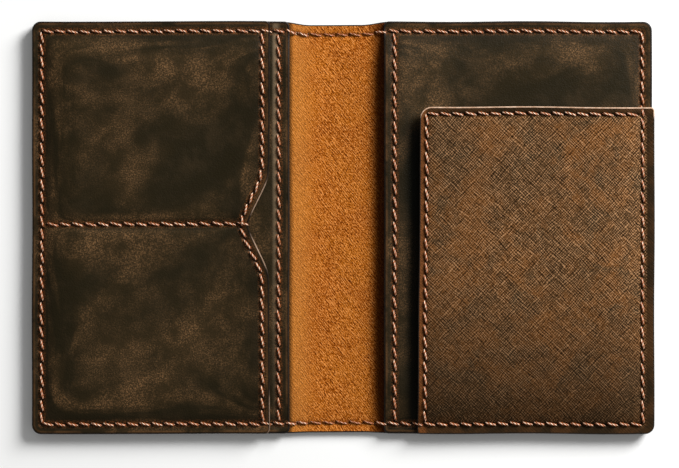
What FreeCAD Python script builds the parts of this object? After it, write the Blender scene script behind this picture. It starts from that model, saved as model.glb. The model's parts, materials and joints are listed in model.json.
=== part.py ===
"""A bifold leather travel document organizer, open flat with its inside up.

One outer cover of leather folds in the middle, like a book.  A wide sleeve is sewn inside each half,
open towards the fold, and takes one cover of a passport.  The left sleeve carries two stacked card slots
with a thumb notch between them.  The right sleeve carries a ticket pocket, open along its top and its
inner edge.  One seam of thick thread runs round the whole outer edge and across the fold.

The fold is soft.  Its bending zone is cut into three strips, joined edge to edge by four hinges on the inner
surface of the leather, and all the hinges turn by the same angle.

Frame: +X to the right, +Y to the top edge, +Z up out of the inside.  The origin lies in the middle of the
underside.  Millimetres.
"""

import FreeCAD
import Part
import Sketcher
import math
import os

from FreeCAD import Rotation, Vector

STRIP_COUNT = 3  # strips in the bending zone, so STRIP_COUNT + 1 hinges

SIZES = [
    ("width", 210.5, "whole width, open flat"),
    ("height", 140.0, "whole height"),
    ("corner", 3.0, "radius of the outer corners"),
    ("cover", 1.6, "thickness of the outer cover"),
    ("panel", 1.1, "thickness of the sleeve and card panels"),
    ("ticket", 1.2, "thickness of the ticket pocket panel"),
    ("sleeve_gap", 1.1, "height of the space inside a sleeve"),
    ("card_gap", 0.9, "height of the space inside a card slot"),
    ("ticket_gap", 1.6, "height of the space inside the ticket pocket"),
    ("strip", 5.6, "width of one strip of the bending zone"),
    ("left_mouth", 17.8, "from the fold's middle to the left sleeve's free edge"),
    ("right_mouth", 14.1, "from the fold's middle to the right sleeve's free edge"),
    ("mouth_corner", 1.2, "radius of the corners at a sleeve's mouth"),
    ("border", 5.0, "width of the border where a panel is sewn down"),
    ("card_mouth", 24.5, "from the fold's middle to the card panel's free edge"),
    ("notch_depth", 7.6, "depth of the thumb notch"),
    ("notch_half", 16.0, "half the length of the thumb notch along the edge"),
    ("notch_tip", 1.6, "half the length of the blunt bottom of the thumb notch"),
    ("notch_middle", 0.8, "height of the thumb notch's middle above the origin"),
    ("divider", 2.0, "width of the seam between the two card slots"),
    ("divider_end", 34.6, "from the fold's middle to the end of that seam"),
    ("ticket_mouth", 26.2, "from the fold's middle to the ticket pocket's free edge"),
    ("ticket_top", 40.8, "height of the ticket pocket's top edge above the origin"),
    ("ticket_corner", 4.0, "radius of the ticket pocket's free corner"),
    ("seam_inset", 3.4, "from an outer edge to the seam round it"),
    ("mouth_inset", 3.7, "from a sleeve's free edge to its seam"),
    ("card_inset", 2.4, "from the card panel's free edge to its seam"),
    ("ticket_inset", 2.4, "from the ticket pocket's free edges to its seam"),
    ("pitch", 4.2, "length of one stitch with the gap after it"),
    ("stitch_gap", 1.0, "gap between two stitches"),
    ("thread", 0.9, "width of the thread"),
    ("rise", 0.5, "height of a stitch above the leather"),
    ("lean", 12.0, "angle of a stitch to its seam, in degrees"),
    ("channel_width", 1.9, "width of the channel for the seam on the underside"),
    ("channel_depth", 0.6, "depth of that channel"),
]

# The edges and levels that several pieces share, as expressions of the sheet's cells.
RIGHT = "sizes.width / 2"
LEFT = "-sizes.width / 2"
TOP = "sizes.height / 2"
BOTTOM = "-sizes.height / 2"
BEND_END = f"{STRIP_COUNT} * sizes.strip / 2"
LEFT_MOUTH = "-sizes.left_mouth"
RIGHT_MOUTH = "sizes.right_mouth"
CARD_MOUTH = "-sizes.card_mouth"
TICKET_MOUTH = "sizes.ticket_mouth"
SLEEVE_UNDER = "sizes.cover + sizes.sleeve_gap"
SLEEVE_TOP = f"{SLEEVE_UNDER} + sizes.panel"
CARD_UNDER = f"{SLEEVE_TOP} + sizes.card_gap"
CARD_TOP = f"{CARD_UNDER} + sizes.panel"
TICKET_UNDER = f"{SLEEVE_TOP} + sizes.ticket_gap"
TICKET_TOP = f"{TICKET_UNDER} + sizes.ticket"


def make_sheet(doc):
    """The spreadsheet of driving dimensions: name, value and meaning, one row each."""
    sheet = doc.addObject("Spreadsheet::Sheet", "sizes")
    for row, (alias, value, meaning) in enumerate(SIZES, 1):
        sheet.set(f"A{row}", alias)
        sheet.set(f"B{row}", str(value))
        sheet.setAlias(f"B{row}", alias)
        sheet.set(f"C{row}", meaning)
    doc.recompute()
    return sheet


def plane_of(body, role):
    """One of a body's own origin planes, such as XY_Plane."""
    return next(feature for feature in body.Origin.OriginFeatures if feature.Role == role)


def draw_outlines(body, name, outlines):
    """A sketch on the body's XY plane with closed outlines, each corner bound to its two expressions."""
    sketch = body.newObject("Sketcher::SketchObject", name)
    sketch.AttachmentSupport = (plane_of(body, "XY_Plane"), [""])
    sketch.MapMode = "FlatFace"
    for corners in outlines:
        points = [Vector(*(float(sketch.evalExpression(text)) for text in corner)) for corner in corners]
        first = sketch.GeometryCount
        count = len(points)
        for k in range(count):
            sketch.addGeometry(Part.LineSegment(points[k], points[(k + 1) % count]))
        for k in range(count):
            sketch.addConstraint(Sketcher.Constraint("Coincident", first + k, 2, first + (k + 1) % count, 1))
        for k, corner in enumerate(corners):
            for kind, text, value in zip(("DistanceX", "DistanceY"), corner, points[k]):
                index = sketch.addConstraint(Sketcher.Constraint(kind, -1, 1, first + k, 1, value))
                sketch.setExpression(f"Constraints[{index}]", text)
    return sketch


def make_plate(doc, label, outline, level, thickness):
    """A flat piece of leather: an outline padded upwards from a level."""
    body = doc.addObject("PartDesign::Body", label)
    pad = body.newObject("PartDesign::Pad", f"{label}_pad")
    pad.Profile = draw_outlines(body, f"{label}_outline", [outline])
    pad.setExpression("Length", thickness)
    body.setExpression(".Placement.Base.z", level)
    body.Tip = pad
    doc.recompute()
    return body


def round_corners(doc, body, corners, radius):
    """Rounds the upright edges of a plate that stand at the given corners."""
    base = body.Tip
    places = [[float(base.evalExpression(text)) for text in corner] for corner in corners]
    edges = []
    for number, edge in enumerate(base.Shape.Edges, 1):
        low, high = (vertex.Point for vertex in edge.Vertexes)
        upright = math.hypot(high.x - low.x, high.y - low.y) < 1e-6
        if upright and any(math.hypot(low.x - x, low.y - y) < 1e-6 for x, y in places):
            edges.append(f"Edge{number}")
    fillet = body.newObject("PartDesign::Fillet", f"{body.Name}_{len(body.Group)}")
    fillet.Base = (base, edges)
    fillet.setExpression("Radius", radius)
    body.Tip = fillet
    doc.recompute()


def cut_channel(doc, body, outlines):
    """A channel in the underside of a plate, for the thread."""
    base = body.Tip
    pocket = body.newObject("PartDesign::Pocket", f"{body.Name}_channel")
    pocket.Profile = draw_outlines(body, f"{body.Name}_channel_outline", outlines)
    pocket.Reversed = True
    pocket.setExpression("Length", "sizes.channel_depth")
    body.Tip = pocket
    doc.recompute()
    if pocket.Shape.Volume >= base.Shape.Volume:
        raise RuntimeError(f"{pocket.Name} cuts nothing")


def rectangle(x_low, x_high, y_low, y_high):
    """The four corners of a rectangle, as expressions."""
    return [(x_low, y_low), (x_high, y_low), (x_high, y_high), (x_low, y_high)]


def seam_row(sign, side):
    """One edge of the channel along the top (sign +) or bottom (-) seam: its inner or outer side."""
    return f"{sign}(sizes.height / 2 - sizes.seam_inset {side} sizes.channel_width / 2)"


def make_outer_cover(doc, label, sign):
    """One half of the outer cover, from the bending zone to the outer edge, on the side that sign names."""
    bend_end = f"{sign}({BEND_END})"
    edge = f"{sign}({RIGHT})"
    plate = make_plate(doc, label, rectangle(bend_end, edge, BOTTOM, TOP), "0", "sizes.cover")
    round_corners(doc, plate, [(edge, BOTTOM), (edge, TOP)], "sizes.corner")
    outer = f"{sign}({RIGHT} - sizes.seam_inset + sizes.channel_width / 2)"
    inner = f"{sign}({RIGHT} - sizes.seam_inset - sizes.channel_width / 2)"
    channel = [
        (bend_end, seam_row("", "+")),
        (outer, seam_row("", "+")),
        (outer, seam_row("-", "+")),
        (bend_end, seam_row("-", "+")),
        (bend_end, seam_row("-", "-")),
        (inner, seam_row("-", "-")),
        (inner, seam_row("", "-")),
        (bend_end, seam_row("", "-")),
    ]
    cut_channel(doc, plate, [channel])
    return plate


def strip_middle(number):
    """Where the middle of a strip of the bending zone lies, numbered from 1 at the right."""
    return f"({STRIP_COUNT} / 2 + 0.5 - {number}) * sizes.strip"


def make_spine_strip(doc, number):
    """One strip of the outer cover in the bending zone, with the seam's channel across both its ends."""
    left, right = "-sizes.strip / 2", "sizes.strip / 2"
    outline = rectangle(left, right, BOTTOM, TOP)
    strip = make_plate(doc, f"outer_cover_spine_{number}", outline, "0", "sizes.cover")
    rows = [rectangle(left, right, seam_row("", "-"), seam_row("", "+"))]
    rows.append(rectangle(left, right, seam_row("-", "+"), seam_row("-", "-")))
    cut_channel(doc, strip, rows)
    strip.setExpression(".Placement.Base.x", strip_middle(number))
    return strip


def make_sleeve_panel(doc, label, mouth, edge):
    """A sleeve's panel: outer corners as the cover's, and small rounded corners at the mouth."""
    level = SLEEVE_UNDER
    panel = make_plate(doc, label, rectangle(mouth, edge, BOTTOM, TOP), level, "sizes.panel")
    round_corners(doc, panel, [(edge, BOTTOM), (edge, TOP)], "sizes.corner")
    round_corners(doc, panel, [(mouth, BOTTOM), (mouth, TOP)], "sizes.mouth_corner")
    return panel


def make_card_panel(doc):
    """The panel over the two card slots, with the V-shaped thumb notch in its free edge."""
    bottom_of_notch = f"{CARD_MOUTH} - sizes.notch_depth"
    outline = [
        (LEFT, BOTTOM),
        (CARD_MOUTH, BOTTOM),
        (CARD_MOUTH, "sizes.notch_middle - sizes.notch_half"),
        (bottom_of_notch, "sizes.notch_middle - sizes.notch_tip"),
        (bottom_of_notch, "sizes.notch_middle + sizes.notch_tip"),
        (CARD_MOUTH, "sizes.notch_middle + sizes.notch_half"),
        (CARD_MOUTH, TOP),
        (LEFT, TOP),
    ]
    panel = make_plate(doc, "card_slot_panel", outline, CARD_UNDER, "sizes.panel")
    round_corners(doc, panel, [(LEFT, BOTTOM), (LEFT, TOP)], "sizes.corner")
    return panel


def make_ticket_panel(doc):
    """The ticket pocket's panel, sewn along the right and the bottom edge."""
    outline = rectangle(TICKET_MOUTH, RIGHT, BOTTOM, "sizes.ticket_top")
    panel = make_plate(doc, "ticket_pocket_panel", outline, TICKET_UNDER, "sizes.ticket")
    round_corners(doc, panel, [(RIGHT, BOTTOM)], "sizes.corner")
    round_corners(doc, panel, [(TICKET_MOUTH, "sizes.ticket_top")], "sizes.ticket_corner")
    return panel


def make_border(doc, label, mouth, edge, top, level, gap, with_top=True):
    """The border under a panel that is sewn down: bars along its bottom, its side and perhaps its top."""
    outwards = "-" if edge == LEFT else "+"
    inner = f"{edge} - ({outwards}sizes.border)"
    low = f"{BOTTOM} + sizes.border"
    high = f"{top} - sizes.border" if with_top else top
    bars = [make_plate(doc, f"{label}_bottom", rectangle(mouth, edge, BOTTOM, low), level, gap)]
    round_corners(doc, bars[0], [(edge, BOTTOM)], "sizes.corner")
    bars.append(make_plate(doc, f"{label}_side", rectangle(inner, edge, low, high), level, gap))
    if with_top:
        bars.append(make_plate(doc, f"{label}_top", rectangle(mouth, edge, high, top), level, gap))
        round_corners(doc, bars[2], [(edge, top)], "sizes.corner")
    group = doc.addObject("Part::Compound", label)
    group.Links = bars
    doc.recompute()
    return group


def make_divider(doc):
    """The seam that divides the upper card slot from the lower one."""
    outer = f"{LEFT} + sizes.border"
    low = "sizes.notch_middle - sizes.divider / 2"
    high = "sizes.notch_middle + sizes.divider / 2"
    outline = rectangle(outer, "-sizes.divider_end", low, high)
    return make_plate(doc, "card_slot_divider_seam", outline, f"{SLEEVE_TOP}", "sizes.card_gap")


def number_from(sheet, text):
    """The value of an expression of the sheet's cells."""
    return float(sheet.evalExpression(text))


def make_stitch(sheet, length):
    """One stitch lying along X with its middle over the origin: a bar with pointed ends."""
    half = length / 2
    side = sheet.thread / 2
    shoulder = half - side
    lower = [(-half, 0), (-shoulder, -side), (shoulder, -side)]
    upper = [(half, 0), (shoulder, side), (-shoulder, side)]
    points = [Vector(x, y, 0) for x, y in lower + upper]
    return Part.Face(Part.makePolygon(points + points[:1])).extrude(Vector(0, 0, sheet.rise))


def stitch_run(sheet, start, end, level):
    """Stitches in a straight row from start to end, in equal cells of about one pitch.  Each leans out of
    the row towards the diagonal that falls to the right."""
    start, end = Vector(*start, level), Vector(*end, level)
    along = end - start
    count = max(1, round(along.Length / sheet.pitch))
    pattern = make_stitch(sheet, along.Length / count - sheet.stitch_gap)
    lean = -sheet.lean if abs(along.x) > abs(along.y) else sheet.lean
    turn = Rotation(Vector(0, 0, 1), math.degrees(math.atan2(along.y, along.x)) + lean)
    stitches = []
    for k in range(count):
        stitch = pattern.copy()
        stitch.Placement = FreeCAD.Placement(start + along * ((k + 0.5) / count), turn)
        stitches.append(stitch)
    return stitches


def make_seam(doc, label, runs, x=0):
    """A seam's stitches, each a separate solid, in one sub-part that stands at x."""
    seam = doc.addObject("Part::Feature", label)
    seam.Shape = Part.makeCompound([stitch for run in runs for stitch in run])
    seam.Placement.Base.x = x
    return seam


def make_perimeter_seam(doc, sheet, label, sign, steps, side_steps):
    """The outer seam round one half, over and under it.  Going outwards, steps say how far from the middle
    each step ends, and how high its top and its bottom row lie.  Going down the side, side_steps say where
    each step ends, and how high it lies."""
    row = sheet.height / 2 - sheet.seam_inset
    column = sign * (sheet.width / 2 - sheet.seam_inset)
    start = sign * STRIP_COUNT * sheet.strip / 2
    back = sheet.channel_depth - sheet.rise
    runs = []
    x = start
    for distance, top_level, bottom_level in steps:
        x_end = sign * distance
        runs.append(stitch_run(sheet, (x, row), (x_end, row), top_level))
        runs.append(stitch_run(sheet, (x, -row), (x_end, -row), bottom_level))
        x = x_end
    y = row
    for y_end, level in side_steps:
        runs.append(stitch_run(sheet, (column, y), (column, y_end), level))
        y = y_end
    for y in (row, -row):
        runs.append(stitch_run(sheet, (start, y), (column, y), back))
    runs.append(stitch_run(sheet, (column, row), (column, -row), back))
    return make_seam(doc, label, runs)


def make_spine_seam(doc, sheet, number):
    """The outer seam's stitches on one strip of the bending zone, over and under both its ends."""
    row = sheet.height / 2 - sheet.seam_inset
    back = sheet.channel_depth - sheet.rise
    half = sheet.strip / 2
    runs = []
    for y in (row, -row):
        for level in (sheet.cover, back):
            runs.append(stitch_run(sheet, (-half, y), (half, y), level))
    x = number_from(sheet, strip_middle(number))
    return make_seam(doc, f"spine_stitching_{number}", runs, x)


def make_seams(doc, sheet):
    """Every seam on the two halves."""
    row = sheet.height / 2 - sheet.seam_inset
    column = sheet.width / 2 - sheet.seam_inset
    inner = row - sheet.stitch_gap
    cover, sleeve = sheet.cover, number_from(sheet, SLEEVE_TOP)
    card, ticket = number_from(sheet, CARD_TOP), number_from(sheet, TICKET_TOP)
    left_steps = [
        (sheet.left_mouth, cover, cover),
        (sheet.card_mouth, sleeve, sleeve),
        (column, card, card),
    ]
    right_steps = [
        (sheet.right_mouth, cover, cover),
        (sheet.ticket_mouth, sleeve, sleeve),
        (column, sleeve, ticket),
    ]
    left_side = [(-row, card)]
    right_side = [(sheet.ticket_top, sleeve), (-row, ticket)]
    seams = [
        make_perimeter_seam(doc, sheet, "left_perimeter_stitching", -1, left_steps, left_side),
        make_perimeter_seam(doc, sheet, "right_perimeter_stitching", 1, right_steps, right_side),
    ]
    for label, x in [
        ("left_sleeve_stitching", -sheet.left_mouth - sheet.mouth_inset),
        ("right_sleeve_stitching", sheet.right_mouth + sheet.mouth_inset),
    ]:
        seams.append(make_seam(doc, label, [stitch_run(sheet, (x, inner), (x, -inner), sleeve)]))
    seams.append(make_card_mouth_seam(doc, sheet, inner, card))
    tip = -sheet.card_mouth - sheet.card_inset - sheet.notch_depth
    middle = sheet.notch_middle
    divider = stitch_run(sheet, (-column + sheet.stitch_gap, middle), (tip - sheet.stitch_gap, middle), card)
    seams.append(make_seam(doc, "card_divider_stitching", [divider]))
    x, y = sheet.ticket_mouth + sheet.ticket_inset, sheet.ticket_top - sheet.ticket_inset
    top_row = stitch_run(sheet, (x + sheet.stitch_gap, y), (column - sheet.stitch_gap, y), ticket)
    side_row = stitch_run(sheet, (x, y - sheet.stitch_gap), (x, -inner), ticket)
    seams.append(make_seam(doc, "ticket_pocket_stitching", [top_row, side_row]))
    return seams


def make_card_mouth_seam(doc, sheet, inner, level):
    """The seam along the card panel's free edge, which follows the thumb notch."""
    x = -sheet.card_mouth - sheet.card_inset
    tip = x - sheet.notch_depth
    middle, half = sheet.notch_middle, sheet.notch_half
    path = [(x, inner), (x, middle + half), (tip, middle), (x, middle - half), (x, -inner)]
    runs = [stitch_run(sheet, start, end, level) for start, end in zip(path, path[1:])]
    return make_seam(doc, "card_mouth_stitching", runs)


def make_parts(doc, sheet):
    """Every sub-part of the organizer, as document objects whose labels name their files."""
    parts = [make_outer_cover(doc, "outer_cover_left", "-"), make_outer_cover(doc, "outer_cover_right", "+")]
    for number in range(1, STRIP_COUNT + 1):
        parts.append(make_spine_strip(doc, number))
        parts.append(make_spine_seam(doc, sheet, number))
    parts.append(make_sleeve_panel(doc, "left_sleeve_panel", LEFT_MOUTH, LEFT))
    parts.append(make_sleeve_panel(doc, "right_sleeve_panel", RIGHT_MOUTH, RIGHT))
    parts.append(make_card_panel(doc))
    parts.append(make_ticket_panel(doc))
    parts.append(make_divider(doc))
    for label, mouth, edge, top, level, gap in [
        ("left_sleeve_sewn_border", LEFT_MOUTH, LEFT, TOP, "sizes.cover", "sizes.sleeve_gap"),
        ("right_sleeve_sewn_border", RIGHT_MOUTH, RIGHT, TOP, "sizes.cover", "sizes.sleeve_gap"),
        ("card_slot_sewn_border", CARD_MOUTH, LEFT, TOP, SLEEVE_TOP, "sizes.card_gap"),
    ]:
        parts.append(make_border(doc, label, mouth, edge, top, level, gap))
    place = (TICKET_MOUTH, RIGHT, "sizes.ticket_top", SLEEVE_TOP, "sizes.ticket_gap")
    parts.append(make_border(doc, "ticket_pocket_sewn_border", *place, with_top=False))
    parts.extend(make_seams(doc, sheet))
    return parts


def check(doc, parts):
    """Stops if an object failed to recompute, or a sub-part's shape is empty or broken."""
    for thing in doc.Objects:
        if {"Invalid", "Error"} & set(thing.State):
            raise RuntimeError(f"{thing.Name} is {thing.State}")
    for part in parts:
        if part.Shape.isNull() or not part.Shape.isValid() or not part.Shape.Solids:
            raise RuntimeError(f"{part.Label} has no sound shape")


def write_steps(parts):
    """Writes each sub-part to parts/LABEL.step."""
    os.makedirs("parts", exist_ok=True)
    for part in parts:
        part.Shape.exportStep(os.path.join("parts", f"{part.Label}.step"))
        count, volume = len(part.Shape.Solids), part.Shape.Volume
        print(f"{part.Label}: {count} solids, {volume:.0f} mm3, top {part.Shape.BoundBox.ZMax:.2f}")


def main():
    doc = FreeCAD.newDocument("travel_document_organizer")
    sheet = make_sheet(doc)
    parts = make_parts(doc, sheet)
    doc.recompute()
    check(doc, parts)
    write_steps(parts)


main()
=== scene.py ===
"""A leather travel document organizer, lying open: the looks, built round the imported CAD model.

Mesh code works in millimetres, in the frame's axes, and make_object turns them into metres.
"""

import json
import math
from functools import cache

import bmesh
import bpy
import numpy as np
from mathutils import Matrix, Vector

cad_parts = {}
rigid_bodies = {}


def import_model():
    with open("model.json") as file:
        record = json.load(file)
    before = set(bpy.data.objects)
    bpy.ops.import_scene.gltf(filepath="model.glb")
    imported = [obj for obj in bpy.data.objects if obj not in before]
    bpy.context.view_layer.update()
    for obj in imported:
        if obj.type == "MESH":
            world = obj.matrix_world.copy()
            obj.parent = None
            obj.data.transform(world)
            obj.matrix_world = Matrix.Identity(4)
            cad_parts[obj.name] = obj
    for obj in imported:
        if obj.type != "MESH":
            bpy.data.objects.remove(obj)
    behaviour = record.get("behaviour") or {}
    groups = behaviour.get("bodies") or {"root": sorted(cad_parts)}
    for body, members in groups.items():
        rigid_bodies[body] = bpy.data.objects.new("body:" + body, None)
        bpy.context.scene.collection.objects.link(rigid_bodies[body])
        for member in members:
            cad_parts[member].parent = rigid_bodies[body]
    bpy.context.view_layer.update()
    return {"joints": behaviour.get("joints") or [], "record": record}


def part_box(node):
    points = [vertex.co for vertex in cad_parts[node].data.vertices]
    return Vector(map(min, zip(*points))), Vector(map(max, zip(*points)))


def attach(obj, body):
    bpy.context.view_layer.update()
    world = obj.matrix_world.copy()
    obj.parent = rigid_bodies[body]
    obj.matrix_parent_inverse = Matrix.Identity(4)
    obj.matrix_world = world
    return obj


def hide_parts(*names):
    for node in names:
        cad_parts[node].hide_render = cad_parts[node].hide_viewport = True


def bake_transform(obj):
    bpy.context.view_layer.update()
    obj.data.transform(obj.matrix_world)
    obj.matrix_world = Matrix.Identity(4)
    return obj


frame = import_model()

MM = 0.001

# Further than anything here.
FAR = 1e9


def cad_box(node):
    """Lowest and highest corner of a CAD node, in millimetres."""
    low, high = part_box(node)
    return np.array(low) / MM, np.array(high) / MM


# Sizes of the CAD model.
left_sleeve_box = cad_box("left_sleeve_panel")
right_sleeve_box = cad_box("right_sleeve_panel")
card_box = cad_box("card_slot_panel")
ticket_box = cad_box("ticket_pocket_panel")
HALF_WIDTH, HALF_HEIGHT, COVER = cad_box("outer_cover_right")[1]
LEFT_MOUTH = -left_sleeve_box[1][0]
RIGHT_MOUTH = right_sleeve_box[0][0]
CARD_MOUTH = -card_box[1][0]
TICKET_MOUTH = ticket_box[0][0]
TICKET_TOP_EDGE = ticket_box[1][1]
PANEL = left_sleeve_box[1][2] - left_sleeve_box[0][2]
TICKET = ticket_box[1][2] - ticket_box[0][2]
SLEEVE_GAP = left_sleeve_box[0][2] - COVER
CARD_GAP = card_box[0][2] - left_sleeve_box[1][2]
TICKET_GAP = ticket_box[0][2] - right_sleeve_box[1][2]

# Outlines of the sheets.
CORNER = 3.0
MOUTH_CORNER = 1.2
TICKET_CORNER = 4.0
TICKET_LOWER_CORNER = 0.6
TICKET_OUTER_CORNER = 0.8
TICKET_OVERHANG = 0.7
TICKET_SLANT = 0.8
NOTCH_DEPTH = 7.6
NOTCH_HALF = 16.0
NOTCH_MIDDLE = 0.8
NOTCH_TIP = 0.10
SPINE_DIP_TOP = 1.1
SPINE_DIP_BOTTOM = 0.3
EDGE_WANDER = 0.22
WANDER_LENGTH = 60

# How far each sheet's rounded edge stands out from its flat part.
COVER_EDGE = 0.45
SLEEVE_EDGE = 0.5
CARD_EDGE = 0.35
TICKET_EDGE = 0.4

# How the sheets lie: the spine's hollow, and how the layers part from the sewn edges inwards.
SPINE_HOLLOW = 0.8
SPINE_END_FLATTENING = 0.8
TICKET_LEAST_CURL = 0.4
CLEARANCE = 0.02
LIFT_START = 2.8
LIFT_REACH = 15.0

# How far each mouth gapes, and how far back from it the leather rises.
LEFT_GAPE, LEFT_GAPE_REACH = 0.25, 26
RIGHT_GAPE, RIGHT_GAPE_REACH = 0.9, 14
CARD_GAPE, CARD_GAPE_REACH = 0.25, 14
TICKET_GAPE, TICKET_GAPE_REACH = 0.9, 45

# How uneven each sheet is: the height of its waves, their seed and their length.
UNEVEN = {
    "cover": (0.08, 3, 16),
    "sleeve": (0.14, 5, 45),
    "card": (0.12, 8, 38),
    "ticket": (0.12, 11, 42),
}

# Dents, as depth and width: round a seam, at its holes, on the back, and at the card slots' divider,
# whose depth is a share of the slots' height.
NARROW_GROOVE = (0.20, 0.8)
WIDE_GROOVE = (0.16, 2.1)
HOLE = (0.42, 0.55)
BACK_CHANNEL = (0.6, 0.85)
DIVIDER_PRESS = (0.85, 2.4)

# Seams: distances from the edges and from each other.
SEAM_INSET = 3.4
MOUTH_INSET = 3.7
CARD_INSET = 2.45
TICKET_INSET = 2.4
MEETING_GAP = 1.5
DIVIDER_LEVEL = 1.2
DIVIDER_OVERRUN = 4.0
SEAM_COLUMN = HALF_WIDTH - SEAM_INSET
SEAM_LEVEL = HALF_HEIGHT - SEAM_INSET

# Stitches and their thread.
PITCH = 4.2
STITCH_GAP = 0.7
HOLE_SCATTER = 0.07
LEAN = math.radians(14)
UPRIGHT_LEAN = 0.9 * LEAN
STRAND_RADIUS = 0.19
TWIST_RADIUS = 0.22
TWIST_TURNS = 0.9
STRANDS = 3
STITCH_RISE = 0.32
STITCH_SINK = 0.5
ARCH_FLATNESS = 3.2
END_TAPER = 0.55
BACK_LEVEL = 0.62

# The sides of the leather, as the way that a stitch arches.
INSIDE, BACK = 1, -1

# The outer seam across the spine is finer, with a weaker painted highlight.
SPINE_THREAD_SIZE = 0.72
SPINE_THREAD_PALE = 0.35

# Mesh density: the grid's cell, how near a seam it is finer, and the steps round an edge or strand.
CELL = 1.8
REFINE = 2.2
REFINE_CUTS = 3
EDGE_STEPS = 7
STRAND_STEPS = 18
STRAND_SIDES = 6

# The distances from seams and edges that the materials read go no further than this.
WEAR_REACH = 9.0


# ---------------------------------------------------------------- numbers

def ramp(value, start, end):
    """Eases from 0 to 1 while a value goes from start to end."""
    t = np.clip((value - start) / (end - start), 0, 1)
    return t * t * (3 - 2 * t)


def dent(distance, shape):
    """How far leather is pulled in at a distance. A shape is a depth and a width."""
    depth, width = shape
    return depth * np.exp(-((distance / width) ** 2))


def waves(x, y, seed, length):
    """A gentle random unevenness of about -1 to 1, with features of about that length."""
    rng = np.random.default_rng(seed)
    total = 0
    count = 7
    for _ in range(count):
        angle, phase = rng.uniform(0, 2 * math.pi, 2)
        k = 2 * math.pi / (length * rng.uniform(0.7, 1.7))
        total = total + np.sin((x * math.cos(angle) + y * math.sin(angle)) * k + phase)
    return total / math.sqrt(2 * count)


def uneven(x, y, sheet):
    """How far the leather of a sheet stands above or below its even place."""
    height, seed, length = UNEVEN[sheet]
    return height * waves(x, y, seed, length)


def distance_to_path(x, y, path):
    """Distance of points from a polyline."""
    nearest = np.full(np.shape(x), FAR)
    for (ax, ay), (bx, by) in zip(path[:-1], path[1:]):
        dx, dy = bx - ax, by - ay
        t = np.clip(((x - ax) * dx + (y - ay) * dy) / max(dx * dx + dy * dy, 1e-12), 0, 1)
        nearest = np.minimum(nearest, np.hypot(x - ax - t * dx, y - ay - t * dy))
    return nearest


def distance_to_seams(x, y, names):
    """Distance of points from the nearest of some seams."""
    nearest = np.full(np.shape(x), FAR)
    for name in names:
        nearest = np.minimum(nearest, distance_to_path(x, y, SEAMS[name]))
    return nearest


def distance_to_holes(x, y, names):
    """Distance of points from the nearest hole of some seams."""
    nearest = np.full(np.shape(x), FAR)
    for name in names:
        for stitch in STITCHES[name]:
            for hole_x, hole_y in stitch:
                nearest = np.minimum(nearest, np.hypot(x - hole_x, y - hole_y))
    return nearest


# ---------------------------------------------------------------- the folds

def body_middle(body):
    """Mean place of a body's nodes along X, which orders the bodies from left to right."""
    nodes = frame["record"]["behaviour"]["bodies"][body]
    return np.mean([(low[0] + high[0]) / 2 for low, high in map(cad_box, nodes)])


def find_folds():
    """The hinges from right to left: place, right body, left body."""
    folds = []
    for joint in frame["joints"]:
        left_body, right_body = sorted((joint["parent"], joint["child"]), key=body_middle)
        folds.append((joint["pos_m"][0] / MM, right_body, left_body))
    return sorted(folds, reverse=True)


FOLDS = find_folds()
STRIP = FOLDS[0][0] - FOLDS[1][0]
BEND_END = FOLDS[0][0] + STRIP / 2


# ---------------------------------------------------------------- surfaces

def lift(x, y, above=True):
    """0 at the sewn edges, where the layers lie on each other, to 1 inside."""
    inset = [HALF_WIDTH - np.abs(x), HALF_HEIGHT + y]
    if above:
        inset.append(HALF_HEIGHT - y)
    rise = 1
    for distance in inset:
        t = np.clip((distance - LIFT_START) / LIFT_REACH, 0, 1)
        rise = rise * t * (2 - t)
    return rise


def away_from_ends(y, reach):
    """0 at the top and bottom edges, to 1 where they are further than the reach."""
    return ramp(HALF_HEIGHT - np.abs(y), 0, reach)


def cover_top(x, y):
    """Slightly hollow between the sleeves' mouths, and flat where the sleeves are sewn to it."""
    from_spine = np.abs(x - (RIGHT_MOUTH - LEFT_MOUTH) / 2)
    ends = 1 - SPINE_END_FLATTENING * ramp(np.abs(y), HALF_HEIGHT - 14, HALF_HEIGHT - 2)
    rise = ramp(from_spine, 0, 17) * (1 - ramp(from_spine, 22, 47)) * ends
    bending = 1 - ramp(np.abs(x), 5, 17)
    return COVER + SPINE_HOLLOW * rise + uneven(x, y, "cover") * bending


def cover_under(x, y):
    """The back, flat, with a channel for the outer seam."""
    return dent(distance_to_path(np.abs(x), np.abs(y), OUTER_SEAM), BACK_CHANNEL)


def sleeve_under(x, y):
    on_left = x < 0
    mouth = np.where(on_left, LEFT_MOUTH, RIGHT_MOUTH)
    most = np.where(on_left, LEFT_GAPE, RIGHT_GAPE)
    reach = np.where(on_left, LEFT_GAPE_REACH, RIGHT_GAPE_REACH)
    gape = most * (1 - ramp(np.abs(x) - mouth, 0, reach)) * away_from_ends(y, 22)
    rise = (SLEEVE_GAP + uneven(x, y, "sleeve")) * lift(x, y)
    return cover_top(x, y) + CLEARANCE + rise + gape


def sleeve_top(x, y):
    return sleeve_under(x, y) + PANEL


def card_under(x, y):
    """Pulled down along the seam that divides the two slots."""
    behind_mouth = -x - CARD_MOUTH
    pressed = dent(y - DIVIDER_LEVEL, DIVIDER_PRESS) * ramp(behind_mouth, NOTCH_DEPTH, NOTCH_DEPTH + 4)
    rise = (CARD_GAP + uneven(x, y, "card")) * lift(x, y) * (1 - pressed)
    gape = CARD_GAPE * (1 - ramp(behind_mouth, 0, CARD_GAPE_REACH)) * away_from_ends(y, 20)
    return sleeve_top(x, y) + CLEARANCE + rise + gape


def card_top(x, y):
    return card_under(x, y) + PANEL


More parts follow.
